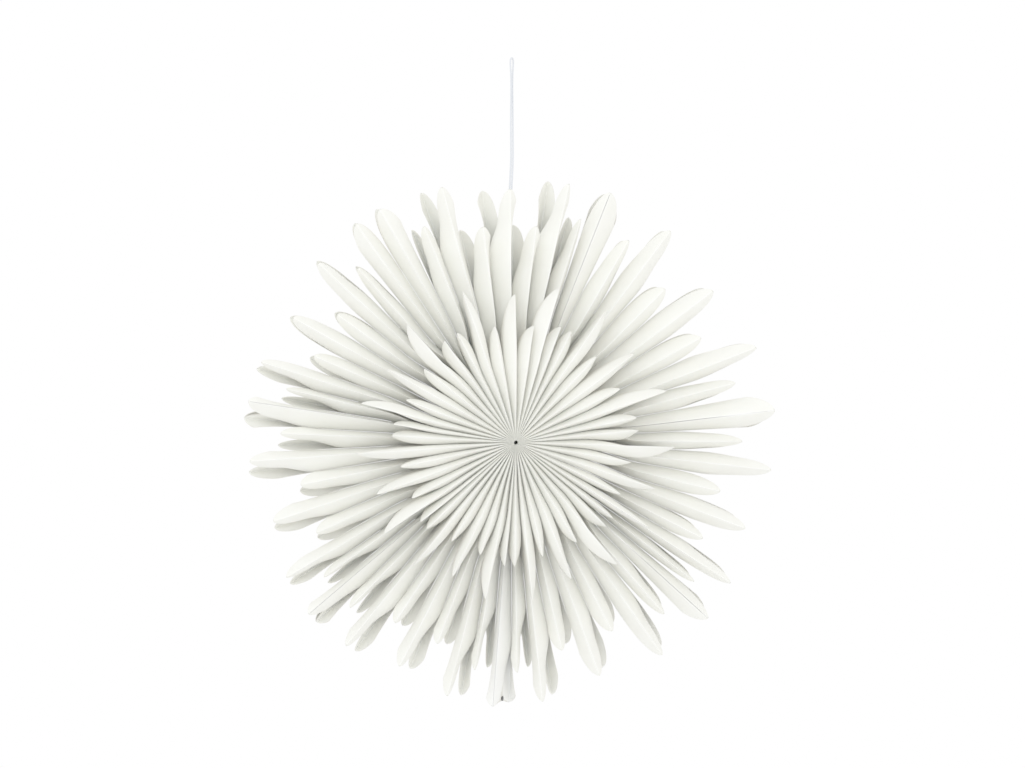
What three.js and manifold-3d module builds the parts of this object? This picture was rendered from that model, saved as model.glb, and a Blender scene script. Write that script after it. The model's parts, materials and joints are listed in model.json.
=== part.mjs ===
// Paper snowflake star: a hanging, fold-flat star made of glued paper bags.
//
// Millimetres, +Z up. The star's axis runs along Y and its front faces -Y. The origin is the top of the
// hanging loop. Every bag is a thin diamond-shaped tube that points away from the star's axis. It is built
// from four folded sheets: a core pair, short and deep, and an outer pair, long and shallow, each with one
// sheet at the front and one at the rear. Past its glued length each folded sheet ends in a free leaf with a
// rounded tip.
// Directions around the axis are in degrees, anticlockwise from +X as seen from the front.

import * as THREE from 'three';
import { mergeVertices } from 'three/addons/utils/BufferGeometryUtils.js';
import Module from 'manifold-3d';

const wasm = await Module();
wasm.setup();

// ---- driving dimensions ----

const AXIS_DROP = 432;          // star's axis below the top of the hanging loop
const AXIS_SIDE = -2;           // and this far to its side, because the leaves are spread unevenly
const PAPER = 0.3;              // wall of a bag, two sheets and their glue
const COVER = 0.4;              // stiff cover at the seam
const SEAM = 0.4;               // between the two covers
const GAP = 0.4;                // between neighbouring bags
const INSET = 0.12;             // from a core sheet's edge to the edge of the outer sheet inside it
const THICKEST = 0.45;          // a wall never takes more than this share of a narrow bag's half width

const CORE_DEPTH = 65;          // axis plane to the crease of a core leaf
const OUTER_DEPTH = 29;         // axis plane to the crease of an outer leaf
const CORE_START = 16;          // radius where the paper starts
const CORE_GLUED = 80;          // radius where the core leaves come free
const OUTER_START = 60;         // radius where the outer sheets start, inside the core
const OUTER_FREE = 78;          // free length of an outer leaf, back from its tip
const SPREAD_START = 75;        // between these radii the bags spread from their core
const SPREAD_END = 150;         // directions to their outer directions
const LEAF_SETTLE = 45;         // length over which a free leaf settles to its own width
const TIP_SHARE = 0.1;          // depth and width left at a leaf's blunt tip, as a share of the whole
const TIP_POWERS = [2.2, 0.6];  // the leaf's end is the arc (1 - u^a)^b
const WEB_END = 15;             // length at a web's tip over which its corners are cut back
const WEB_END_SHARE = 0.9;      // to this share of its depth
const EDGE_GAP = 0.25;          // from the axis plane to the edge of a bent sheet's wing

// Bags A B C D C B A make a module. E is the end leaf between two modules.
const MODULE = ['A', 'B', 'C', 'D', 'C', 'B', 'A'];
const OUTER_TIP = { A: 261, B: 296, C: 243, D: 283, E: 300 };
const CORE_TIP = { A: 139, B: 179, C: 132, D: 166 };
const LEAF_WIDTH = { A: 0.7, B: 0.75, C: 1.0, D: 0.85, E: 1.15 };   // share of the space between two creases

// Directions of the end leaves' creases, from the seam round to the seam again. The star hangs a little
// unevenly, and front and rear are turned against each other. A joint that has sprung apart has two.
const FRONT_JOINTS = [[265.7], [317.8], [366.4], [428.4], [479.9, 485.7], [531.2], [580.0], [625.7]];
const REAR_JOINTS = [[270.3], [318.5], [365.7], [427.7], [479.8, 485.5], [535.2], [583.4], [630.3]];
const CORE_JOINTS = [267.1, 320.2, 368.5, 426.5, 481.9, 533.6, 581.5, 627.1];
const FRONT_MIDDLE = [0.474, 0.442, 0.485, 0.429, 0.547, 0.554, 0.507];    // middle bag's share of its module
const REAR_MIDDLE = [0.462, 0.447, 0.499, 0.54, 0.507, 0.527, 0.501];
const OUTER_SHARE = [0.115, 0.227, 0.362, 0.5, 0.638, 0.773, 0.885];       // bags' places in an even module
const CORE_SHARE = [0.05, 0.18, 0.328, 0.5, 0.672, 0.82, 0.95];
const SQUEEZE = [0, 0, 1.5, 0, 0, 0, 0];      // degrees that a module's own bags stand in from its end leaves

const MAGNET = { radius: 2.8, thick: 1.2, at: 293 };

const CORD = 2;                 // diameter
const CORD_SIDES = 8;
const CORD_STEPS = 74;
const KNOT = { radius: 2.9, centre: [-7, -10, -210] };     // inside the fold of the top bag's front leaf
const CORD_ROUTE = [            // up one strand from the knot, over the top and down the other strand
  [-5.8, -10, -209], [-4.8, -9, -195], [-3.1, -6.5, -176], [-0.8, -3.5, -152],
  [0.6, -1.5, -130], [1.4, -0.5, -112], [1.3, 0, -90], [1.2, 0.3, -68],
  [1, 0.7, -46], [0.9, 1.1, -30], [1.2, 2, -19], [1.8, 3.1, -11],
  [2, 3.5, -5], [1.4, 2.5, -2.2], [0, 0, -1], [-1.4, -2.5, -2.2], [-2, -3.5, -5],
  [-1.8, -3.1, -11], [-1.2, -2, -19], [-0.9, -1.1, -30], [-1, -0.7, -46],
  [-1.2, -0.3, -68], [-1.1, 0, -90], [-1, -0.5, -112], [-1.8, -1.5, -130],
  [-3.2, -3.5, -152], [-5.5, -6.5, -176], [-7.2, -9, -195], [-8.2, -10, -209],
];

// Sections of a free leaf between the end of its glue and its tip, as shares of its length.
const CORE_LEAF_STATION = 0.6;
const OUTER_LEAF_STATIONS = [0.5, 0.85];

// ---- small helpers ----

const rad = THREE.MathUtils.degToRad;
const mix = THREE.MathUtils.lerp;
const spread = (r) => THREE.MathUtils.smoothstep(r, SPREAD_START, SPREAD_END);

// A point of the star from its radius, direction, sideways shift and place along the axis.
function place(r, direction, shift, y) {
  const a = rad(direction);
  const x = r * Math.cos(a) - shift * Math.sin(a);
  const z = r * Math.sin(a) + shift * Math.cos(a);
  return [x + AXIS_SIDE, y, z - AXIS_DROP];
}

function solidOf(geometry) {
  const bare = geometry.index ? geometry.clone() : geometry;
  bare.deleteAttribute('normal');
  bare.deleteAttribute('uv');
  const merged = mergeVertices(bare, 1e-4);
  return new wasm.Manifold(new wasm.Mesh({
    numProp: 3,
    vertProperties: new Float32Array(merged.attributes.position.array),
    triVerts: new Uint32Array(merged.index.array),
  }));
}

function geometryOf(solid) {
  const mesh = solid.getMesh();
  const geometry = new THREE.BufferGeometry();
  geometry.setAttribute('position', new THREE.BufferAttribute(mesh.vertProperties, 3));
  geometry.setIndex(new THREE.BufferAttribute(mesh.triVerts, 1));
  geometry.computeVertexNormals();
  return geometry;
}

// A closed solid from its points and triangles, turned right side out.
function closed(points, triangles) {
  const build = (index) => new wasm.Manifold(new wasm.Mesh({
    numProp: 3,
    vertProperties: new Float32Array(points.flat()),
    triVerts: new Uint32Array(index),
  }));
  const solid = build(triangles);
  return solid.volume() > 0 ? solid : build(triangles.reverse());
}

// Two sheets glued into one piece. A pocket sealed in the glue between them is filled.
function glue(first, second) {
  const pieces = first.add(second).decompose();
  return pieces.reduce((largest, piece) => (piece.volume() > largest.volume() ? piece : largest));
}

// ---- directions of every crease ----

// Moves an even share of the module so that the middle bag lands on its own share.
const skewed = (share, middle) => share + 4 * (middle - 0.5) * share * (1 - share);

// One entry for each bag and end leaf, anticlockwise from the seam. `front` and `rear` are the creases'
// directions outside the core, `coreFront` and `coreRear` those inside it.
function layOut() {
  const entries = [];
  FRONT_JOINTS.forEach((front, k) => {
    const rear = REAR_JOINTS[k];
    front.forEach((direction, side) => {
      const turn = rear[side] - direction;
      entries.push({
        kind: 'E',
        joint: k,
        front: direction,
        rear: rear[side],
        coreFront: CORE_JOINTS[k],
        coreRear: CORE_JOINTS[k] + turn,
      });
    });
    if (k === MODULE.length) return;
    const lead = front.length - 1;
    const ends = [front[lead] + SQUEEZE[k], FRONT_JOINTS[k + 1][0] - SQUEEZE[k]];
    const rearEnds = [rear[lead] + SQUEEZE[k], REAR_JOINTS[k + 1][0] - SQUEEZE[k]];
    MODULE.forEach((kind, i) => {
      const share = OUTER_SHARE[i];
      const bagFront = mix(ends[0], ends[1], skewed(share, FRONT_MIDDLE[k]));
      const bagRear = mix(rearEnds[0], rearEnds[1], skewed(share, REAR_MIDDLE[k]));
      const coreFront = mix(CORE_JOINTS[k], CORE_JOINTS[k + 1], skewed(CORE_SHARE[i], FRONT_MIDDLE[k]));
      entries.push({
        kind,
        name: `bag_${k + 1}_${i + 1}`,
        front: bagFront,
        rear: bagRear,
        coreFront,
        coreRear: coreFront + bagRear - bagFront,
      });
    });
  });
  return entries;
}

const entries = layOut();

// Directions at a radius: side -1 is the front crease, +1 the rear one, 0 halfway.
function crease(entry, r, side) {
  const front = mix(entry.coreFront, entry.front, spread(r));
  const rear = mix(entry.coreRear, entry.rear, spread(r));
  return mix(front, rear, (side + 1) / 2);
}

// The glue line that an entry shares with the one before it (step -1) or after it (step +1).
function glueLine(i, step, r) {
  const here = crease(entries[i], r, 0);
  const there = crease(entries[i + step], r, 0);
  return (here + there) / 2;
}

// ---- paper ----

// A leaf's depth as a share of the full depth: whole up to `glued`, then an arc down to the tip.
function leafShare(r, glued, tip) {
  if (r <= glued) return 1;
  const u = (r - glued) / (tip - glued);
  return Math.max(TIP_SHARE, Math.pow(1 - Math.pow(u, TIP_POWERS[0]), TIP_POWERS[1]));
}

// Sideways place of a sheet's edge from its crease: at the glue line, or past it at the free leaf's own
// width. It never passes the surface halfway to the neighbour's sheet, which runs from the glue line to
// halfway between the two creases.
function edgeShift(i, step, r, side, spec) {
  const own = crease(entries[i], r, side);
  const inset = r < CORE_GLUED ? spec.inset : 0;
  const toLine = step * rad(glueLine(i, step, r) - own) * r;
  if (r <= spec.glued) return step * (toLine - GAP / 2 - inset);
  const share = leafShare(r, spec.glued, spec.tip);
  const toHalf = step * rad(crease(entries[i + step], r, side) - own) * r / 2;
  const limit = mix(toHalf, toLine, share) - GAP / 2;
  const free = toHalf * LEAF_WIDTH[entries[i].kind] * share;
  const settled = spec.settles ? THREE.MathUtils.smoothstep(r, spec.glued, spec.glued + LEAF_SETTLE) : 0;
  return step * Math.min(limit, mix(toLine * share - GAP / 2, free, settled));
}

// The six points of one folded sheet at a radius: left edge, crease and right edge of its outer face, then
// the same three of its inner face.
function foldedSection(i, side, r, spec) {
  const own = crease(entries[i], r, side);
  const creaseY = side * spec.depth;
  const edgeY = creaseY * (1 - leafShare(r, spec.glued, spec.tip));
  const [left, right] = [-1, 1].map((step) => edgeShift(i, step, r, side, spec));
  const middle = (left + right) / 2;
  const thin = Math.min(THICKEST, PAPER / ((right - left) / 2));
  const face = [[left, edgeY], [0, creaseY], [right, edgeY]];
  const back = face.map(([x, y]) => [mix(x, middle, thin), mix(y, edgeY, thin)]);
  return [...face, ...back].map(([x, y]) => place(r, own, x, y));
}

// Adds the faces of a stretch of sheet between two sections. `outer` and `inner` list the same points of a
// section on the two faces of the sheet. Both faces are split along the same diagonals, so a twisted sheet
// keeps its wall.
function addSheet(triangles, from, to, outer, inner, isRing) {
  const count = isRing ? outer.length : outer.length - 1;
  for (let n = 0; n < count; n += 1) {
    const next = (n + 1) % outer.length;
    const [a, b] = [outer[n], outer[next]];
    const [c, d] = [inner[n], inner[next]];
    triangles.push(from[a], from[b], to[b], from[a], to[b], to[a]);
    triangles.push(from[c], to[d], from[d], from[c], to[c], to[d]);
  }
  if (isRing) return;
  const [a, c] = [outer[0], inner[0]];
  const [b, d] = [outer[outer.length - 1], inner[inner.length - 1]];
  triangles.push(from[a], to[a], to[c], from[a], to[c], from[c]);
  triangles.push(from[b], to[d], to[b], from[b], from[d], to[d]);
}

// Closes the end of a sheet at one section; `isStart` says which of its two ends that is.
function addEnd(triangles, at, outer, inner, isRing, isStart) {
  const count = isRing ? outer.length : outer.length - 1;
  for (let n = 0; n < count; n += 1) {
    const next = (n + 1) % outer.length;
    const [a, b, c, d] = [at[outer[n]], at[outer[next]], at[inner[next]], at[inner[n]]];
    if (isStart) triangles.push(b, a, d, b, d, c);
    else triangles.push(a, b, c, a, c, d);
  }
}

// A diamond-shaped tube whose far end splits into a front leaf and a rear leaf. Up to the end of the glue the
// two folded sheets share their edges, so a section there is left edge, front crease, right edge, rear crease,
// and then the same points of the inner face.
function tube(i, spec) {
  const points = [];
  const triangles = [];
  const add = (section) => {
    const first = points.push(...section) - section.length;
    return section.map((_, n) => first + n);
  };

  const rings = spec.stations.filter((r) => r <= spec.glued).map((r) => {
    const front = foldedSection(i, -1, r, spec);
    const rear = foldedSection(i, 1, r, spec);
    return add([front[0], front[1], front[2], rear[1], front[3], front[4], front[5], rear[4]]);
  });
  const [outerRing, innerRing] = [[0, 1, 2, 3], [4, 5, 6, 7]];
  addEnd(triangles, rings[0], outerRing, innerRing, true, true);
  rings.slice(1).forEach((ring, n) => addSheet(triangles, rings[n], ring, outerRing, innerRing, true));

  const last = rings[rings.length - 1];
  [-1, 1].forEach((side) => {
    // the rear leaf runs from right to left, so that it goes round the same way as the front leaf
    const [outer, inner] = side === -1 ? [[0, 1, 2], [3, 4, 5]] : [[2, 1, 0], [5, 4, 3]];
    const shared = side === -1 ? [0, 1, 2, 4, 5, 6] : [0, 3, 2, 4, 7, 6];
    let from = shared.map((n) => last[n]);
    spec.stations.filter((r) => r > spec.glued).forEach((r) => {
      const to = add(foldedSection(i, side, r, spec));
      addSheet(triangles, from, to, outer, inner, false);
      from = to;
    });
    addEnd(triangles, from, outer, inner, false, false);
  });
  return closed(points, triangles);
}

function coreSpec(kind) {
  const tip = CORE_TIP[kind];
  return {
    depth: CORE_DEPTH, glued: CORE_GLUED, tip, settles: false, inset: 0,
    stations: [CORE_START, CORE_GLUED, mix(CORE_GLUED, tip, CORE_LEAF_STATION), tip],
  };
}

function outerSpec(kind) {
  const tip = OUTER_TIP[kind];
  const glued = tip - OUTER_FREE;
  return {
    depth: OUTER_DEPTH, glued, tip, settles: true, inset: INSET,
    stations: [
      ...(kind === 'E' ? [] : [OUTER_START]),
      CORE_GLUED, (CORE_GLUED + SPREAD_END) / 2, SPREAD_END,
      glued, ...OUTER_LEAF_STATIONS.map((share) => mix(glued, tip, share)), tip,
    ],
  };
}

function bag(i) {
  const { kind } = entries[i];
  return glue(tube(i, coreSpec(kind)), tube(i, outerSpec(kind)));
}

// Moves each point of an open line sideways by `distance`, so that the two lines bound a sheet that thick.
function offsetLine(line, distance) {
  const normal = ([ax, ay], [bx, by]) => {
    const length = Math.hypot(bx - ax, by - ay);
    return [(ay - by) / length, (bx - ax) / length];
  };
  return line.map((point, n) => {
    const before = n > 0 ? normal(line[n - 1], point) : normal(point, line[n + 1]);
    const after = n < line.length - 1 ? normal(point, line[n + 1]) : before;
    const [x, y] = [before[0] + after[0], before[1] + after[1]];
    const reach = 2 * distance / (x * x + y * y);
    return [point[0] + x * reach, point[1] + y * reach];
  });
}

// Half an end leaf as one bent sheet: a flat web from its front crease to its rear crease, and a wing from
// each crease to the neighbour's glue line. The two wings' edges meet there, a hair apart.
function halfLeaf(i, step, paper, shift) {
  const spec = outerSpec('E');
  const section = (r) => {
    const middle = crease(entries[i], r, 0);
    const web = OUTER_DEPTH * (r < spec.tip - WEB_END ? 1 : WEB_END_SHARE);
    const edgeY = Math.max(web * (1 - leafShare(r, spec.glued, spec.tip)), EDGE_GAP);
    const hinge = (side) => [r * rad(crease(entries[i], r, side) - middle) + step * shift, side * web];
    const edge = (side) => {
      const across = r * rad(crease(entries[i], r, side) - middle);
      return [across + edgeShift(i, step, r, side, spec), side * edgeY];
    };
    const line = [edge(-1), hinge(-1), hinge(1), edge(1)];
    return [...line, ...offsetLine(line, -step * paper)].map(([x, y]) => place(r, middle, x, y));
  };
  const points = spec.stations.map(section);
  const sections = points.map((ring, j) => ring.map((_, n) => j * ring.length + n));
  const [outer, inner] = [[0, 1, 2, 3], [4, 5, 6, 7]];
  const triangles = [];
  addEnd(triangles, sections[0], outer, inner, false, true);
  sections.slice(1).forEach((to, j) => addSheet(triangles, sections[j], to, outer, inner, false));
  addEnd(triangles, sections[sections.length - 1], outer, inner, false, false);
  return closed(points.flat(), triangles);
}

// ---- the star ----

const paperWhite = new THREE.MeshStandardMaterial({ color: 0xf3f3ee, roughness: 0.85, metalness: 0 });
const coverWhite = new THREE.MeshStandardMaterial({ color: 0xf5f5f1, roughness: 0.8, metalness: 0 });
const magnetGrey = new THREE.MeshStandardMaterial({ color: 0x4a4a4c, roughness: 0.35, metalness: 0.9 });
const cordWhite = new THREE.MeshStandardMaterial({ color: 0xf4f4f2, roughness: 0.9, metalness: 0 });

const star = new THREE.Group();

function addMesh(name, solid, material) {
  const mesh = new THREE.Mesh(geometryOf(solid), material);
  mesh.name = name;
  star.add(mesh);
}

function addPaper() {
  const last = entries.length - 1;
  entries.forEach((entry, i) => {
    if (entry.kind !== 'E') addMesh(entry.name, bag(i), paperWhite);
  });
  for (let k = 1; k < MODULE.length; k += 1) {
    const at = entries.map((entry, i) => (entry.joint === k ? i : -1)).filter((i) => i >= 0);
    const leaf = at.length === 1
      ? tube(at[0], outerSpec('E'))
      : glue(halfLeaf(at[0], -1, PAPER, -PAPER / 2), halfLeaf(at[1], 1, PAPER, -PAPER / 2));
    addMesh(`end_leaf_${k}`, leaf, paperWhite);
  }
  addMesh('seam_cover_right', halfLeaf(0, 1, COVER, SEAM / 2), coverWhite);
  addMesh('seam_cover_left', halfLeaf(last, -1, COVER, SEAM / 2), coverWhite);
}

// A disc on the cell side of a seam cover, square to the cover's twisted web, over the paper glued there.
function magnet(i, step) {
  const disc = new THREE.CylinderGeometry(MAGNET.radius, MAGNET.radius, MAGNET.thick, 20);
  const entry = entries[i];
  const across = step * (SEAM / 2 + COVER + PAPER + MAGNET.thick / 2);
  const twist = Math.atan(rad(entry.rear - entry.front) * MAGNET.at / (2 * OUTER_DEPTH));
  const direction = rad(crease(entry, MAGNET.at, 0));
  // the disc's own Y axis is turned to the web's normal, and its Z axis lies along the radius
  const normal = new THREE.Vector3(-Math.sin(direction), -Math.tan(twist), Math.cos(direction)).normalize();
  disc.applyQuaternion(new THREE.Quaternion().setFromUnitVectors(new THREE.Vector3(0, 1, 0), normal));
  const lift = across / Math.cos(twist);
  disc.translate(...place(MAGNET.at, crease(entry, MAGNET.at, 0), lift, 0));
  return solidOf(disc);
}

function hangingCord() {
  const route = new THREE.CatmullRomCurve3(CORD_ROUTE.map((point) => new THREE.Vector3(...point)));
  const section = new THREE.Shape();
  for (let i = 0; i < CORD_SIDES; i += 1) {
    const a = 2 * Math.PI * i / CORD_SIDES;
    const [x, y] = [CORD / 2 * Math.cos(a), CORD / 2 * Math.sin(a)];
    if (i === 0) section.moveTo(x, y);
    else section.lineTo(x, y);
  }
  const sweep = { steps: CORD_STEPS, bevelEnabled: false, extrudePath: route };
  const strand = new THREE.ExtrudeGeometry(section, sweep);
  const knot = new THREE.SphereGeometry(KNOT.radius, 12, 8);
  knot.translate(...KNOT.centre);
  return solidOf(strand).add(solidOf(knot));
}

addPaper();
addMesh('seam_magnet_right', magnet(0, 1), magnetGrey);
addMesh('seam_magnet_left', magnet(entries.length - 1, -1), magnetGrey);
addMesh('hanging_cord', hangingCord(), cordWhite);

export default star;
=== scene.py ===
# Paper snowflake star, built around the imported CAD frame.
#
# The star's axis runs along Y and its front faces -Y. The layout is worked out in millimetres and degrees,
# with directions anticlockwise from +X as seen from the front, and place() turns it into metres in the frame.
# Every piece of paper is a closed thin sheet, folded along its creases, and stands in for its CAD node.

import json
import math

import bpy
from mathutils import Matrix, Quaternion, Vector


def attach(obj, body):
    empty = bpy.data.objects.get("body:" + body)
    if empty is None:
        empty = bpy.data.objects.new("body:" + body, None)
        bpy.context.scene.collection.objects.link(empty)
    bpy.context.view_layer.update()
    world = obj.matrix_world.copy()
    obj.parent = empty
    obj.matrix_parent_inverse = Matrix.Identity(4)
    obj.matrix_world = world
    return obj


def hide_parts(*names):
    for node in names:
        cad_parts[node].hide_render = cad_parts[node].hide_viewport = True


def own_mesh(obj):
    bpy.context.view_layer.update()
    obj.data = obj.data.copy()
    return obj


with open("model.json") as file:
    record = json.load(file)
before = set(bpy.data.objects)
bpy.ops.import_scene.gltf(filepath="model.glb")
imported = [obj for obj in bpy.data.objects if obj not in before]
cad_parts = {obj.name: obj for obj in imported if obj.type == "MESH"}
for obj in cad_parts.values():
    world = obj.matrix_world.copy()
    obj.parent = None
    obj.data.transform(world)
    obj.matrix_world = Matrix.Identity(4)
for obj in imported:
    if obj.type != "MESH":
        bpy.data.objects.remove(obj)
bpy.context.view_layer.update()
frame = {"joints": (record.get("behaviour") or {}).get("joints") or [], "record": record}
HUB = Vector(frame["joints"][0]["pos_m"])       # on the star's axis, halfway between front and rear
MM = 0.001

# ---- layout: the CAD's driving dimensions, and the finer ones that only these meshes have ----

PAPER = 0.3                 # thickness of the bags' paper
COVER = 0.4                 # thickness of the seam covers' card
SEAM = 0.4                  # opening between the two covers
GAP = 0.4                   # between two glued sheets
GLUE_INSET = PAPER * 0.4    # how far an outer sheet keeps inside the core sheet it meets
CORE_DEPTH = 65             # from the axis plane to a core crease
OUTER_DEPTH = 29            # from the axis plane to an outer crease
OVER_CREASE = 1             # from an end leaf's crease up to the core sheets that reach over it
CORE_VALLEY = 4.0           # depth of the valley between two core leaves, as a share of half its width
DEEPEST_VALLEY = 17
CORE_START = 2.5            # radii: where the core sheets start and where their glue ends
CORE_GLUED = 80
OUTER_START = 60            # radius where the outer sheets start
OUTER_FREE = 78             # length of an outer leaf past the glue
SPREAD_START = 75           # radii between which the bags turn from their core to their outer direction
SPREAD_END = 150
LEAF_SETTLE = 45            # length past the glue in which a free leaf takes its own width
TIP_SHARE = 0.04            # a leaf's last stretch of edge, as a share of its full depth
TIP_ROUND = 7               # radius of a crease's end, seen from the side
TIP_SINK = 0.6              # how far the crease sinks there, as a share of that radius
CORE_ARC = (1.9, 0.7)       # the two powers of the arc that a leaf's edge follows to its tip
OUTER_ARC = (2.7, 0.52)
JOINT_LINE = 0.25           # half the open line between the two sheets of an end leaf
EDGE_GAP = 0.15             # from the axis plane to the edge of a sheet
WEB_LINE = 0.02             # half the line between the front and rear halves of a web
WEB_NOTCH = 4               # how far a cover's web stands back between its two tips
HUB_RADIUS = 16             # walls thin out from here in to the axis

MODULE = "ABCDCBA"
# radius of the tip and width of the free leaf, as a share, for each kind of bag and for the end leaf
OUTER_TIP = {"A": 261, "B": 296, "C": 243, "D": 283, "E": 300}
CORE_TIP = {"A": 139, "B": 179, "C": 132, "D": 166}
LEAF_WIDTH = {"A": 0.7, "B": 0.75, "C": 1.0, "D": 0.85, "E": 1.15}

# directions of the glued joints' creases, and of the module's middle bag as a share of the module
FRONT_JOINTS = [[265.7], [317.8], [366.4], [428.4], [479.9, 485.7], [531.2], [580.0], [625.7]]
REAR_JOINTS = [[270.3], [318.5], [365.7], [427.7], [479.8, 485.5], [535.2], [583.4], [630.3]]
CORE_JOINTS = [267.1, 320.2, 368.5, 426.5, 481.9, 533.6, 581.5, 627.1]
FRONT_MIDDLE = [0.474, 0.442, 0.485, 0.429, 0.547, 0.554, 0.507]
REAR_MIDDLE = [0.462, 0.447, 0.499, 0.54, 0.507, 0.527, 0.501]
# where each bag of a module lies between its joints, in its outer leaves and in its core
OUTER_SHARE = [0.115, 0.227, 0.362, 0.5, 0.638, 0.773, 0.885]
CORE_SHARE = [0.05, 0.18, 0.328, 0.5, 0.672, 0.82, 0.95]
SQUEEZE = [0, 0, 1.5, 0, 0, 0, 0]      # degrees by which a module's bags draw in from its two joints

MAGNET_RADIUS = 2.8
MAGNET_THICK = 1.2
MAGNET_AT = 293             # its centre's distance from the axis
MAGNET_SIDES = 40
MAGNET_FACE = [(0.02, 0.06), (0.9, 0.04), (MAGNET_RADIUS - 0.35, 0)]   # radius and dip along its dished face
RIM_ROUND = 0.25            # radius of its rounded rim
RIM_STEPS = 4               # in a quarter turn of that rim

CORD_DIAMETER = 2
CORD_PITCH = 7              # one turn of the cord's plies
CORD_PLIES = 3
CORD_SIDES = 18
PLY_GROOVE = 0.8            # radius in the groove between two plies, as a share of the cord's
ROUTE_STEPS = 22            # between two points of the route
KNOT_CENTRE = (-7, -10, -210)
KNOT_REACH = 1.35           # the knot's mean radius, and how far it swings out and up
KNOT_SWING = 0.6
KNOT_RISE = 0.75
KNOT_STRAND = 0.85          # radius of the cord where it is drawn tight
KNOT_STEPS = 96
CORD_ROUTE = [
    (-5.8, -10, -209), (-4.8, -9, -195), (-3.1, -6.5, -176), (-0.8, -3.5, -152),
    (0.6, -1.5, -130), (1.4, -0.5, -112), (1.3, 0, -90), (1.2, 0.3, -68),
    (1, 0.7, -46), (0.9, 1.1, -30), (1.2, 2, -19), (1.8, 3.1, -11),
    (2, 3.5, -5), (1.4, 2.5, -2.2), (0, 0, -1), (-1.4, -2.5, -2.2), (-2, -3.5, -5),
    (-1.8, -3.1, -11), (-1.2, -2, -19), (-0.9, -1.1, -30), (-1, -0.7, -46),
    (-1.2, -0.3, -68), (-1.1, 0, -90), (-1, -0.5, -112), (-1.8, -1.5, -130),
    (-3.2, -3.5, -152), (-5.5, -6.5, -176), (-7.2, -9, -195), (-8.2, -10, -209),
]

# ---- camera ----

CAMERA_AIM = Vector((0.0008, 0, -0.3687))
CAMERA_YAW = 6              # degrees
CAMERA_TILT = 1.86
CAMERA_DISTANCE = 5         # metres
VIEW_WIDTH = 1.158          # metres across the picture at the star
SENSOR = 36                 # millimetres
FAR_CLIP = 30

# ---- studio ----

DAYLIGHT = (0.8, 0.91, 1)
KEY = {"place_at": (-1.3, -2.2, 1.5), "size": 1.2, "power": 7}
FILL = {"place_at": (-0.3, -4, 0.2), "size": 2, "power": 18}
VIEW_GAMMA = 1.5
FLOOR_HEIGHT = -1.2
FLOOR_RADII = (0.3, 1.2, 2.4)
FLOOR_SIDES = 64


def mix(a, b, share):
    return a + (b - a) * share


def smoothstep(x, low, high):
    share = min(1, max(0, (x - low) / (high - low)))
    return share * share * (3 - 2 * share)


def circle(sides):
    """The angles of the corners of a regular polygon."""
    return [math.tau * n / sides for n in range(sides)]


def add_camera():
    yaw = math.radians(CAMERA_YAW)
    tilt = math.radians(CAMERA_TILT)
    view = Vector((math.sin(yaw) * math.cos(tilt), math.cos(yaw) * math.cos(tilt), -math.sin(tilt)))
    data = bpy.data.cameras.new("camera")
    data.sensor_width = SENSOR
    data.lens = SENSOR * CAMERA_DISTANCE / VIEW_WIDTH
    data.clip_end = FAR_CLIP
    camera = bpy.data.objects.new("camera", data)
    camera.location = CAMERA_AIM - view * CAMERA_DISTANCE
    camera.rotation_mode = "QUATERNION"
    camera.rotation_quaternion = view.to_track_quat("-Z", "Y")
    bpy.context.scene.collection.objects.link(camera)
    bpy.context.scene.camera = camera


# ---- materials ----

def new_material(name, roughness, metallic=0.0):
    material = bpy.data.materials.new(name)
    material.use_nodes = True
    shader = material.node_tree.nodes["Principled BSDF"]
    shader.inputs["Roughness"].default_value = roughness
    shader.inputs["Metallic"].default_value = metallic
    return material, shader


def noise(tree, scale, detail, stretch=(1, 1, 1)):
    """Noise in the object's own space; scale is in features per metre."""
    coordinates = tree.nodes.new("ShaderNodeTexCoord")
    mapping = tree.nodes.new("ShaderNodeMapping")
    mapping.inputs["Scale"].default_value = stretch
    texture = tree.nodes.new("ShaderNodeTexNoise")
    texture.inputs["Scale"].default_value = scale
    texture.inputs["Detail"].default_value = detail
    tree.links.new(coordinates.outputs["Object"], mapping.inputs["Vector"])
    tree.links.new(mapping.outputs["Vector"], texture.inputs["Vector"])
    return texture.outputs["Fac"]


def ramp(tree, value, stops):
    node = tree.nodes.new("ShaderNodeValToRGB")
    tree.links.new(value, node.inputs["Fac"])
    elements = node.color_ramp.elements
    for element, (position, colour) in zip(elements, stops):
        element.position = position
        element.color = (*colour, 1)
    return node.outputs["Color"]


def blend_colour(tree, share, first, second):
    node = tree.nodes.new("ShaderNodeMix")
    node.data_type = "RGBA"
    tree.links.new(share, node.inputs["Factor"])
    for value, socket in ((first, node.inputs["A"]), (second, node.inputs["B"])):
        if isinstance(value, tuple):
            socket.default_value = (*value, 1)
        else:
            tree.links.new(value, socket)
    return node.outputs["Result"]


def scaled(tree, value, factor):
    node = tree.nodes.new("ShaderNodeMath")
    node.operation = "MULTIPLY"
    node.inputs[1].default_value = factor
    tree.links.new(value, node.inputs[0])
    return node.outputs["Value"]


def attribute(tree, name):
    node = tree.nodes.new("ShaderNodeAttribute")
    node.attribute_name = name
    return node.outputs["Fac"]


def bumped(tree, shader, height, strength, distance, after=None):
    node = tree.nodes.new("ShaderNodeBump")
    node.inputs["Strength"].default_value = strength
    node.inputs["Distance"].default_value = distance
    tree.links.new(height, node.inputs["Height"])
    if after is not None:
        tree.links.new(after, node.inputs["Normal"])
    tree.links.new(node.outputs["Normal"], shader.inputs["Normal"])
    return node.outputs["Normal"]


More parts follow.
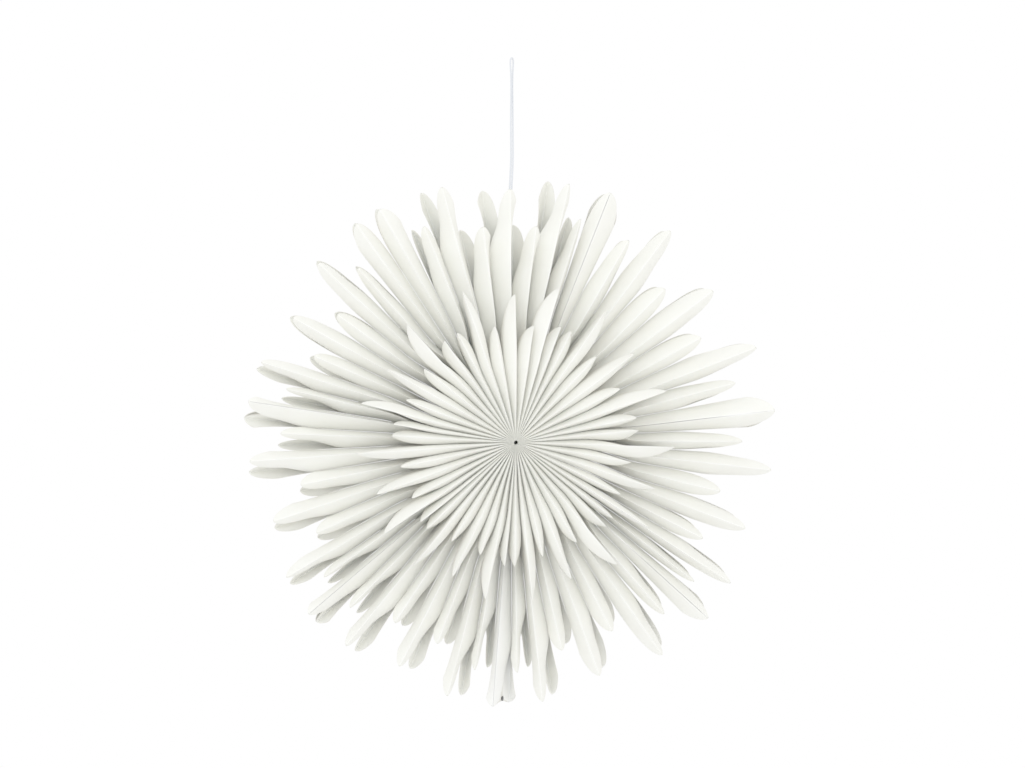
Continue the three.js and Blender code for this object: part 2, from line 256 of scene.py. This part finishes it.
def paper_material(name, light, shade, edge, fold, roughness, fibre):
    """Uncoated paper: faint clouds in the pulp, fibres, a painted highlight along the fold, and painted olive
    shade along the cut edges, deepest in the valleys, over the edges' own slightly darker tone.
    """
    material, shader = new_material(name, roughness)
    tree = material.node_tree
    clouds = ramp(tree, noise(tree, 45, 4), [(0.3, shade), (0.7, light)])
    # painted highlight: the fold colour brightens the paper along each crease
    fold_highlight = blend_colour(tree, scaled(tree, attribute(tree, "fold"), 0.6), clouds, fold)
    # painted shade: the edge colour darkens and warms the paper along its cut edges, most where they lie deep
    # in the valleys along the glue lines, over the edges' own slightly darker tone
    cut_edge_and_valley_shade = blend_colour(tree, scaled(tree, attribute(tree, "cut"), 0.75), fold_highlight, edge)
    tree.links.new(cut_edge_and_valley_shade, shader.inputs["Base Color"])
    shader.inputs["Specular IOR Level"].default_value = 0.25
    shader.inputs["Sheen Weight"].default_value = 0.08
    soft = bumped(tree, shader, noise(tree, 160, 3), 0.25, 0.0005)
    bumped(tree, shader, noise(tree, 2400, 2, (1, 1, 0.35)), fibre, 0.00012, soft)
    return material


def magnet_material():
    """Dark nickel plate with fine brushed marks and a few dull patches."""
    material, shader = new_material("magnet_plate", 0.3, 1.0)
    tree = material.node_tree
    tone = ramp(tree, noise(tree, 900, 4), [(0.35, (0.03, 0.03, 0.032)), (0.75, (0.11, 0.11, 0.115))])
    tree.links.new(tone, shader.inputs["Base Color"])
    dull = ramp(tree, noise(tree, 500, 3), [(0.3, (0.25, 0.25, 0.25)), (0.8, (0.55, 0.55, 0.55))])
    tree.links.new(dull, shader.inputs["Roughness"])
    bumped(tree, shader, noise(tree, 5000, 2, (1, 1, 0.08)), 0.2, 0.00004)
    return material


def cord_material():
    """Twisted cotton: the plies are in the mesh, fine fibres lie across them, and painted shade darkens the
    grooves between the plies.
    """
    material, shader = new_material("twisted_cotton", 0.85)
    tree = material.node_tree
    tone = ramp(tree, noise(tree, 1300, 3), [(0.3, (0.66, 0.68, 0.72)), (0.7, (0.74, 0.76, 0.80))])
    # painted shade: darker where the cut mark says a point lies deep in a groove between plies
    groove_shade = blend_colour(tree, attribute(tree, "cut"), tone, (0.58, 0.60, 0.64))
    tree.links.new(groove_shade, shader.inputs["Base Color"])
    shader.inputs["Sheen Weight"].default_value = 0.3
    bumped(tree, shader, noise(tree, 6000, 3, (1, 1, 0.3)), 0.4, 0.0001)
    return material


# ---- meshes ----

SHARP_OVER = 50             # degrees between two faces that make an edge sharp


class Mesh:
    """Points, faces and two marks for each point: how near a cut edge it is, and how near a fold. The paper
    paints shade along cut edges and a highlight along folds; a cord's cut mark holds how deep in a groove a
    point lies, which it paints as shade.
    """

    def __init__(self):
        self.points = []
        self.faces = []
        self.cut = []
        self.fold = []

    def add_row(self, row, cut=None, fold=None):
        start = len(self.points)
        self.points.extend(row)
        self.cut.extend(cut or [0] * len(row))
        self.fold.extend(fold or [0] * len(row))
        return range(start, start + len(row))

    def join(self, first, second, ring=False):
        """A strip of faces between two rows of points."""
        count = len(first) if ring else len(first) - 1
        for n in range(count):
            m = (n + 1) % len(first)
            self.faces.append((first[n], first[m], second[m], second[n]))

    def closed_sheet(self, outer, inner, cut, fold, turned):
        """A thin closed sheet from the rows of its two faces. Rows that run the other way are turned round,
        so that the faces point outwards."""
        if turned:
            outer, inner, cut, fold = ([row[::-1] for row in rows] for rows in (outer, inner, cut, fold))
        top = [self.add_row(row, *marks) for row, *marks in zip(outer, cut, fold)]
        under = [self.add_row(row, *marks) for row, *marks in zip(inner, cut, fold)]
        for n in range(len(top) - 1):
            self.join(top[n], top[n + 1])
            self.join(under[n + 1], under[n])
        for first, second in ((under[0], top[0]), (top[-1], under[-1])):
            self.join(first, second)
        self.join([row[0] for row in top], [row[0] for row in under])
        self.join([row[-1] for row in under], [row[-1] for row in top])

    def build(self, name, material):
        data = bpy.data.meshes.new(name)
        data.from_pydata([tuple(point) for point in self.points], [], self.faces)
        for mark, values in (("cut", self.cut), ("fold", self.fold)):
            layer = data.attributes.new(mark, "FLOAT", "POINT")
            layer.data.foreach_set("value", values)
        data.validate()
        data.shade_smooth()
        data.set_sharp_from_angle(angle=math.radians(SHARP_OVER))
        data.materials.append(material)
        piece = bpy.data.objects.new(name, data)
        bpy.context.scene.collection.objects.link(piece)
        return piece


def place(r, direction, shift, y):
    """A point in the frame from its radius, direction, sideways shift and place along the axis."""
    a = math.radians(direction)
    x = r * math.cos(a) - shift * math.sin(a)
    z = r * math.sin(a) + shift * math.cos(a)
    return HUB + Vector((x, y, z)) * MM


# ---- cord ----

def route_through(points, steps):
    """Points along a centripetal Catmull-Rom curve through the given ones."""
    ends = [2 * points[0] - points[1], *points, 2 * points[-1] - points[-2]]
    route = []
    for p0, p1, p2, p3 in zip(ends, ends[1:], ends[2:], ends[3:]):
        d0, d1, d2 = (math.sqrt((b - a).length) for a, b in ((p0, p1), (p1, p2), (p2, p3)))
        start = ((p1 - p0) / d0 - (p2 - p0) / (d0 + d1) + (p2 - p1) / d1) * d1
        end = ((p2 - p1) / d1 - (p3 - p1) / (d1 + d2) + (p3 - p2) / d2) * d1
        for step in range(steps):
            s = step / steps
            square, cube = s * s, s * s * s
            route.append(
                p1 * (2 * cube - 3 * square + 1) + start * (cube - 2 * square + s)
                + p2 * (3 * square - 2 * cube) + end * (cube - square)
            )
    return [*route, points[-1]]


def plied_tube(name, route, radius, pitch, material):
    """A twisted cord: its section has a lobe for each ply, and turns once in every pitch."""
    mesh = Mesh()
    tangent = (route[1] - route[0]).normalized()
    across = tangent.orthogonal().normalized()
    rows = []
    travelled = 0
    for n, point in enumerate(route):
        ahead = (route[min(n + 1, len(route) - 1)] - route[max(n - 1, 0)]).normalized()
        across = (tangent.rotation_difference(ahead) @ across).normalized()
        tangent = ahead
        travelled += (point - route[n - 1]).length if n else 0
        twist = math.tau * travelled / pitch
        row, groove = [], []
        for angle in circle(CORD_SIDES):
            lobe = abs(math.cos(CORD_PLIES * (angle - twist) / 2))
            reach = radius * mix(PLY_GROOVE, 1, lobe ** 0.5)
            row.append(point + Quaternion(tangent, angle) @ across * reach)
            # how deep in the groove between two plies, which the cord's material paints as shade
            groove.append((1 - lobe) ** 2)
        rows.append(mesh.add_row(row, groove))
    for first, second in zip(rows, rows[1:]):
        mesh.join(first, second, ring=True)
    mesh.faces.append(tuple(reversed(rows[0])))
    mesh.faces.append(tuple(rows[-1]))
    return mesh.build(name, material)


def add_cord(material):
    points = [Vector(point) * MM for point in CORD_ROUTE]
    route = route_through(points, ROUTE_STEPS)
    cord = plied_tube("hanging_cord_plied", route, CORD_DIAMETER / 2 * MM, CORD_PITCH * MM, material)
    centre = Vector(KNOT_CENTRE) * MM
    # the knot is drawn as a trefoil: twice round while it goes in and out three times
    knot_route = []
    for n in range(KNOT_STEPS + 1):
        t = math.tau * n / KNOT_STEPS
        reach = KNOT_REACH + KNOT_SWING * math.cos(3 * t)
        offset = Vector((reach * math.cos(2 * t), reach * math.sin(2 * t), KNOT_RISE * math.sin(3 * t)))
        knot_route.append(centre + offset * MM)
    knot = plied_tube("hanging_cord_knot", knot_route, KNOT_STRAND * MM, CORD_PITCH * MM, material)
    for piece in (cord, knot):
        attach(piece, "middle_bag")
    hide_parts("hanging_cord")


# ---- directions of every crease ----

def skewed(share, middle):
    """Moves an even share of the module so that the middle bag lands on its own share."""
    return share + 4 * (middle - 0.5) * share * (1 - share)


def lay_out():
    """One entry for each bag and end leaf, anticlockwise from the seam, with its creases' directions."""
    entries = []
    for k, (front, rear, core) in enumerate(zip(FRONT_JOINTS, REAR_JOINTS, CORE_JOINTS)):
        for ahead, behind in zip(front, rear):
            entries.append({
                "kind": "E", "name": f"end_leaf_{k}", "joint": k, "front": ahead, "rear": behind,
                "core_front": core, "core_rear": core + behind - ahead,
            })
        if k == len(MODULE):
            break
        ends = (front[-1] + SQUEEZE[k], FRONT_JOINTS[k + 1][0] - SQUEEZE[k])
        rear_ends = (rear[-1] + SQUEEZE[k], REAR_JOINTS[k + 1][0] - SQUEEZE[k])
        for i, kind in enumerate(MODULE):
            bag_front = mix(*ends, skewed(OUTER_SHARE[i], FRONT_MIDDLE[k]))
            bag_rear = mix(*rear_ends, skewed(OUTER_SHARE[i], REAR_MIDDLE[k]))
            core_front = mix(core, CORE_JOINTS[k + 1], skewed(CORE_SHARE[i], FRONT_MIDDLE[k]))
            entries.append({
                "kind": kind, "name": f"bag_{k + 1}_{i + 1}", "joint": None,
                "front": bag_front, "rear": bag_rear,
                "core_front": core_front, "core_rear": core_front + bag_rear - bag_front,
            })
    return entries


entries = lay_out()
# the two sides of the seam: the cover's entry, the way to its neighbour, and its name
SEAM_ENDS = ((0, 1, "right"), (len(entries) - 1, -1, "left"))


def crease(entry, r, side):
    """Direction at a radius: side -1 is the front crease, +1 the rear one, 0 halfway."""
    spread = smoothstep(r, SPREAD_START, SPREAD_END)
    front = mix(entry["core_front"], entry["front"], spread)
    rear = mix(entry["core_rear"], entry["rear"], spread)
    return mix(front, rear, (side + 1) / 2)


def glue_line(i, step, r):
    """Direction of the line that an entry is glued to its neighbour along."""
    return (crease(entries[i], r, 0) + crease(entries[i + step], r, 0)) / 2


def leaf_share(r, spec):
    """A leaf's depth as a share of the full depth: whole as far as the glue, then an arc to the tip."""
    if r <= spec["glued"]:
        return 1
    u = (r - spec["glued"]) / (spec["tip"] - spec["glued"])
    bend, drop = spec["arc"]
    return max(TIP_SHARE, max(0, 1 - u ** bend) ** drop)


def ridge(entry, r, side, spec):
    """Direction of a sheet's own crease. A core leaf keeps straight on where the bags spread."""
    return crease(entry, CORE_START if spec["straight"] else r, side)


def lean(entry, r, side, spec):
    """How far the bag has spread sideways from its core leaf's straight ridge, less towards the tip."""
    turned = crease(entry, r, side) - ridge(entry, r, side, spec)
    return r * math.radians(turned) * leaf_share(r, spec)


def edge_shift(i, step, r, side, spec):
    """Sideways place of a sheet's edge from its crease, never past the surface halfway to the neighbour. A
    core sheet beside an end leaf, which has no core leaf of its own, reaches to the end leaf's crease."""
    own = crease(entries[i], r, side)
    by_end_leaf = spec["straight"] and entries[i + step]["kind"] == "E"
    line = crease(entries[i + step], r, side) if by_end_leaf else glue_line(i, step, r)
    to_line = step * math.radians(line - own) * r
    # the open line takes at most a quarter of the way to the glue line
    hair = min(JOINT_LINE if by_end_leaf else GAP / 2, to_line / 4)
    inset = spec["inset"] if r < CORE_GLUED else 0
    if r <= spec["glued"]:
        return step * (to_line - hair - inset)
    share = leaf_share(r, spec)
    to_half = step * math.radians(crease(entries[i + step], r, side) - own) * r / 2
    limit = mix(to_half, to_line, share) - hair
    free = to_half * LEAF_WIDTH[entries[i]["kind"]] * share
    settled = smoothstep(r, spec["glued"], spec["glued"] + LEAF_SETTLE) if spec["settles"] else 0
    return step * min(limit, mix(to_line * share - hair, free, settled))


# ---- paper ----

WING_STEPS = 8
CROWDING = 1.3          # above 1, the points across a wing stand closer together near its crease
ACROSS = [(n / WING_STEPS) ** CROWDING for n in range(WING_STEPS + 1)]
WEB_STEPS = 6
CORE_STATIONS = [CORE_START, 4, 7, 12, 20, 32, 46, 62]                 # radii of the sections near the axis
END_LEAF_STATIONS = [4, 8, 14, 24, 40]
LIP = 0.1               # least height of the strip along a sheet's edge
OPENING = 30            # length over which the paper springs open, before and after the end of the glue
FULLNESS = (1.02, 1.2)  # power of a wing's curve, where it is glued and in the free leaf
SOFTNESS = (0.02, 0.06)  # how soft its fold is, likewise
MOST_DRAWN = 0.45       # the most that an inner face is drawn in, where the fold is narrower than its walls
AT_TIP = 0.01           # how near a section is to the tip to be its cut edge


def stations(start, spec, glued_steps, free_steps):
    """Radii of the sections, closer together towards the tip."""
    glued, tip = spec["glued"], spec["tip"]
    straight = [mix(start, glued, n / glued_steps) for n in range(glued_steps)]
    free = [mix(glued, tip, math.sin(math.pi / 2 * n / free_steps)) for n in range(free_steps + 1)]
    return straight + free


def core_spec(kind):
    """A sheet's measures in the core, where its crease keeps straight on past the glue."""
    spec = {
        "depth": CORE_DEPTH, "glued": CORE_GLUED, "tip": CORE_TIP[kind], "arc": CORE_ARC,
        "settles": False, "straight": True, "inset": 0, "valley": CORE_VALLEY,
    }
    spec["stations"] = [*CORE_STATIONS, *stations(CORE_GLUED, spec, glued_steps=1, free_steps=16)[1:]]
    return spec


def outer_spec(kind):
    """A sheet's measures further out, where its crease turns with the bag and its leaf settles to a width."""
    tip = OUTER_TIP[kind]
    spec = {
        "depth": OUTER_DEPTH, "glued": tip - OUTER_FREE, "tip": tip, "arc": OUTER_ARC,
        "settles": True, "straight": False, "inset": GLUE_INSET, "valley": None,
    }
    start = END_LEAF_STATIONS if kind == "E" else []
    spec["stations"] = start + stations(OUTER_START, spec, glued_steps=12, free_steps=20)
    return spec


def crease_depth(r, spec):
    """Depth of a crease, which curves back a little at its tip."""
    past = max(0, r - (spec["tip"] - TIP_ROUND)) / TIP_ROUND
    return spec["depth"] - TIP_ROUND * TIP_SINK * (1 - math.sqrt(max(0, 1 - past * past)))


def openness(r, spec):
    """How far the paper has sprung into a soft curve: a little where it is glued, fully in the free leaf."""
    return smoothstep(r, spec["glued"] - OPENING, spec["glued"] + OPENING)


def wing(edge, r, side, spec, least=EDGE_GAP):
    """Sideways shift and depth of the points of one wing, from its crease to its edge."""
    depth = side * crease_depth(r, spec)
    edge_depth = side * max(spec["depth"] * (1 - leaf_share(r, spec)), least)
    fullness = mix(*FULLNESS, openness(r, spec))
    softness = mix(*SOFTNESS, openness(r, spec))
    valley = min(abs(edge) * spec["valley"], DEEPEST_VALLEY) if spec["valley"] else spec["depth"]
    foot = side * max(abs(edge_depth) + LIP, abs(depth) - valley)
    curve = []
    for t in ACROSS:
        fall = (math.hypot(t, softness) - softness) / (math.hypot(1, softness) - softness)
        curve.append((edge * (1 - (1 - t) ** fullness), mix(depth, foot, fall)))
    # below the valley the sheet lies flat along its neighbour
    curve.append((edge, edge_depth))
    return curve


def marks(r, spec, count):
    """Marks along one wing, from its crease to its edge."""
    is_end = r >= spec["tip"] - AT_TIP
    cut = [1 if is_end or n == count - 1 else 0 for n in range(count)]
    fold = [1 if n == 0 else 0 for n in range(count)]
    return cut, fold


def across_fold(left, middle, right, keep):
    """A row across a fold, from lists that start at its crease: the left wing if 0 is kept, the crease of the
    middle list, and the right wing if 1 is kept."""
    return (left[:0:-1] if 0 in keep else []) + middle[:1] + (right[1:] if 1 in keep else [])


def add_folded_sheet(mesh, i, side, spec, steps):
    """One sheet folded along its crease, from glue line to glue line. The inner face is the outer one drawn
    in towards the middle of the opening."""
    outer, inner, cuts, folds = [], [], [], []
    for r in spec["stations"]:
        own = ridge(entries[i], r, side, spec)
        leaning = lean(entries[i], r, side, spec)
        wings = []
        for step in (-1, 1):
            over_end_leaf = spec["straight"] and entries[i + step]["kind"] == "E"
            least = OUTER_DEPTH + OVER_CREASE if over_end_leaf else EDGE_GAP
            wings.append(wing(edge_shift(i, step, r, side, spec) + leaning, r, side, spec, least))
        keep = [n for n, step in enumerate((-1, 1)) if step in steps]
        line = across_fold(wings[0], wings[keep[0]], wings[1], keep)
        left, right = wings[0][-1][0], wings[1][-1][0]
        centre_x = (left + right) / 2 if len(keep) == 2 else 0
        centre_y = min(wings[0][-1][1], wings[1][-1][1], key=abs)
        half_width = (right - left) / 2
        thin = min(MOST_DRAWN, PAPER / half_width) * min(1, r / HUB_RADIUS)
        outer.append([place(r, own, x, y) for x, y in line])
        inner.append([place(r, own, mix(x, centre_x, thin), mix(y, centre_y, thin)) for x, y in line])
        cut, fold = marks(r, spec, len(ACROSS) + 1)
        cuts.append(across_fold(cut, cut, cut, keep))
        folds.append(across_fold(fold, fold, fold, keep))
    mesh.closed_sheet(outer, inner, cuts, folds, turned=side == -1)


def add_half_leaf(mesh, i, partner, step, wall, shift, full_web=False):
    """Half an end leaf, at the front and again at the rear: a flat web, and a wing folded back from its
    crease. The webs of the two halves meet at the axis plane. A seam cover has a full web, which carries the
    magnet. That of an end leaf is cut to the shape of its wing."""
    spec = outer_spec("E")
    for side in (-1, 1):
        outer, inner, cuts, folds = [], [], [], []
        for r in spec["stations"]:
            own = crease(entries[i], r, side)
            middle = (crease(entries[i], r, 0) + crease(entries[partner], r, 0)) / 2
            tilt = r * math.radians(middle - own)
            near_hub = min(1, r / HUB_RADIUS)
            at_web = step * shift * near_hub
            reach = edge_shift(i, step, r, side, spec) - at_web
            curve = [(at_web + x, y) for x, y in wing(reach, r, side, spec)]
            web_edge = WEB_LINE if full_web else max(spec["depth"] * (1 - leaf_share(r, spec)), WEB_LINE)
            top = curve[0][1]
            web = [(at_web, mix(top, side * web_edge, n / WEB_STEPS)) for n in range(1, WEB_STEPS + 1)]
            line = curve[::-1] + web
            # the inner face is the outer one drawn in towards the middle of the fold
            width, height = abs(reach), abs(top - curve[-1][1])
            inward = width * height / (width + height + math.hypot(width, height))
            centre_x, centre_y = at_web + step * inward, curve[-1][1] + side * inward
            thin = min(MOST_DRAWN, wall * near_hub / inward)
            inner_line = [(mix(x, centre_x, thin), mix(y, centre_y, thin)) for x, y in line]
            past = max(0, r - spec["glued"]) / OUTER_FREE if full_web else 0
            for rows, points in ((outer, line), (inner, inner_line)):
                row = [place(r, own, x, y) for x, y in points[:len(curve)]]
                for n, (x, y) in enumerate(points[len(curve):], 1):
                    back = past * WEB_NOTCH * math.sin(math.pi / 2 * n / WEB_STEPS)
                    row.append(place(r - back, own, x + tilt * (1 - abs(y) / spec["depth"]), y))
                rows.append(row)
            cut, fold = marks(r, spec, len(curve))
            cuts.append(cut[::-1] + [cut[0]] * (WEB_STEPS - 1) + [1 if r > spec["glued"] else 0])
            folds.append(fold[::-1] + [0] * WEB_STEPS)
        mesh.closed_sheet(outer, inner, cuts, folds, turned=side * step == 1)


def stand_in(piece, node, body):
    """Puts a paper piece on its body in its node's place, hides the node, and gives the piece a mesh of its
    own.
    """
    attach(piece, body)
    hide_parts(node)
    fold_flat(piece)


def fold_flat(piece):
    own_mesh(piece)


def add_bags(material):
    for i, entry in enumerate(entries):
        if entry["kind"] == "E":
            continue
        name = entry["name"]
        in_middle = name in frame["record"]["behaviour"]["bodies"]["middle_bag"]
        # the middle bag is built as a right and a left half, which both stay on the middle bag's body
        parts = [("", (-1, 1))] if not in_middle else [("_right", (-1,)), ("_left", (1,))]
        for suffix, steps in parts:
            mesh = Mesh()
            for spec in (core_spec(entry["kind"]), outer_spec(entry["kind"])):
                for side in (-1, 1):
                    add_folded_sheet(mesh, i, side, spec, steps)
            piece = mesh.build(f"{name}_paper{suffix}", material)
            if in_middle:
                stand_in(piece, name, "middle_bag")
            else:
                stand_in(piece, name, name)


def add_end_leaves(material):
    for k in range(1, len(MODULE)):
        at = [i for i, entry in enumerate(entries) if entry["joint"] == k]
        mesh = Mesh()
        add_half_leaf(mesh, at[0], at[-1], -1, PAPER, JOINT_LINE)
        add_half_leaf(mesh, at[-1], at[0], 1, PAPER, JOINT_LINE)
        name = f"end_leaf_{k}"
        stand_in(mesh.build(f"{name}_paper", material), name, name)


def add_covers(material):
    entries[0]["name"] = "seam_cover_right"
    entries[-1]["name"] = "seam_cover_left"
    for i, step, side in SEAM_ENDS:
        mesh = Mesh()
        add_half_leaf(mesh, i, i, step, COVER, SEAM / 2, full_web=True)
        node = f"seam_cover_{side}"
        stand_in(mesh.build(f"{node}_card", material), node, f"{side}_cover")


# ---- magnets ----

def add_magnets(material):
    """Discs with a rounded rim, where the CAD has them, square to the cover's twisted web."""
    for i, step, side in SEAM_ENDS:
        entry = entries[i]
        direction = math.radians(crease(entry, MAGNET_AT, 0))
        twist = math.atan(math.radians(entry["rear"] - entry["front"]) * MAGNET_AT / (2 * OUTER_DEPTH))
        lift = step * (SEAM / 2 + COVER + PAPER + MAGNET_THICK / 2) / math.cos(twist)
        normal = Vector((-math.sin(direction), -math.tan(twist), math.cos(direction))).normalized()
        turn = Vector((0, 0, 1)).rotation_difference(normal)
        centre = place(MAGNET_AT, math.degrees(direction), lift, 0)
        half = MAGNET_THICK / 2
        profile = [(x, half - dip) for x, dip in MAGNET_FACE]
        for n in range(RIM_STEPS + 1):
            a = math.pi / (2 * RIM_STEPS) * n
            sunk = RIM_ROUND * (1 - math.cos(a))
            profile.append((MAGNET_RADIUS - RIM_ROUND * (1 - math.sin(a)), half - sunk))
        profile += [(x, -y) for x, y in reversed(profile)]
        mesh = Mesh()
        rows = []
        for x, y in profile:
            row = [Vector((x * math.cos(a), x * math.sin(a), y)) for a in circle(MAGNET_SIDES)]
            rows.append(mesh.add_row([centre + turn @ point * MM for point in row]))
        for first, second in zip(rows, rows[1:]):
            mesh.join(second, first, ring=True)
        mesh.faces.append(tuple(rows[0]))
        mesh.faces.append(tuple(reversed(rows[-1])))
        piece = mesh.build(f"seam_magnet_{side}_disc", material)
        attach(piece, f"{side}_cover")
        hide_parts(f"seam_magnet_{side}")


# ---- light and floor ----

def add_area_light(name, place_at, size, power):
    data = bpy.data.lights.new(name, "AREA")
    data.shape = "DISK"
    data.size = size
    data.energy = power
    data.color = DAYLIGHT
    light = bpy.data.objects.new(name, data)
    light.location = place_at
    light.rotation_mode = "QUATERNION"
    light.rotation_quaternion = (HUB - Vector(place_at)).to_track_quat("-Z", "Y")
    bpy.context.scene.collection.objects.link(light)


def add_studio():
    world = bpy.data.worlds.new("studio")
    world.use_nodes = True
    world.node_tree.nodes["Background"].inputs["Color"].default_value = (1, 1, 1, 1)
    world.node_tree.nodes["Background"].inputs["Strength"].default_value = 1.0
    bpy.context.scene.world = world
    bpy.context.scene.view_settings.view_transform = "Standard"
    bpy.context.scene.view_settings.gamma = VIEW_GAMMA
    add_area_light("key", **KEY)
    add_area_light("fill", **FILL)

    mesh = Mesh()
    rings = []
    for radius in FLOOR_RADII:
        rings.append(mesh.add_row([
            Vector((radius * math.cos(a), radius * math.sin(a), FLOOR_HEIGHT)) for a in circle(FLOOR_SIDES)
        ]))
    mesh.faces.append(tuple(rings[0]))
    for first, second in zip(rings, rings[1:]):
        mesh.join(second, first, ring=True)
    material, shader = new_material("studio_floor", 0.8)
    tree = material.node_tree
    tone = ramp(tree, noise(tree, 3, 3), [(0.3, (0.86, 0.86, 0.86)), (0.7, (0.9, 0.9, 0.9))])
    tree.links.new(tone, shader.inputs["Base Color"])
    mesh.build("studio_floor", material)


add_camera()
add_cord(cord_material())
# edge is the colour of the painted shade along cut edges and in the valleys, fold that of the painted
# highlight along the creases; light and shade are the pulp's own random clouds
white_paper = paper_material(
    "white_paper", light=(0.925, 0.92, 0.86), shade=(0.905, 0.895, 0.825), edge=(0.74, 0.71, 0.62),
    fold=(0.97, 0.965, 0.94), roughness=0.85, fibre=0.25,
)
white_card = paper_material(
    "white_card", light=(0.94, 0.935, 0.90), shade=(0.92, 0.915, 0.875), edge=(0.74, 0.72, 0.64),
    fold=(0.97, 0.97, 0.96), roughness=0.7, fibre=0.15,
)
add_bags(white_paper)
add_end_leaves(white_paper)
add_covers(white_card)
add_magnets(magnet_material())
add_studio()
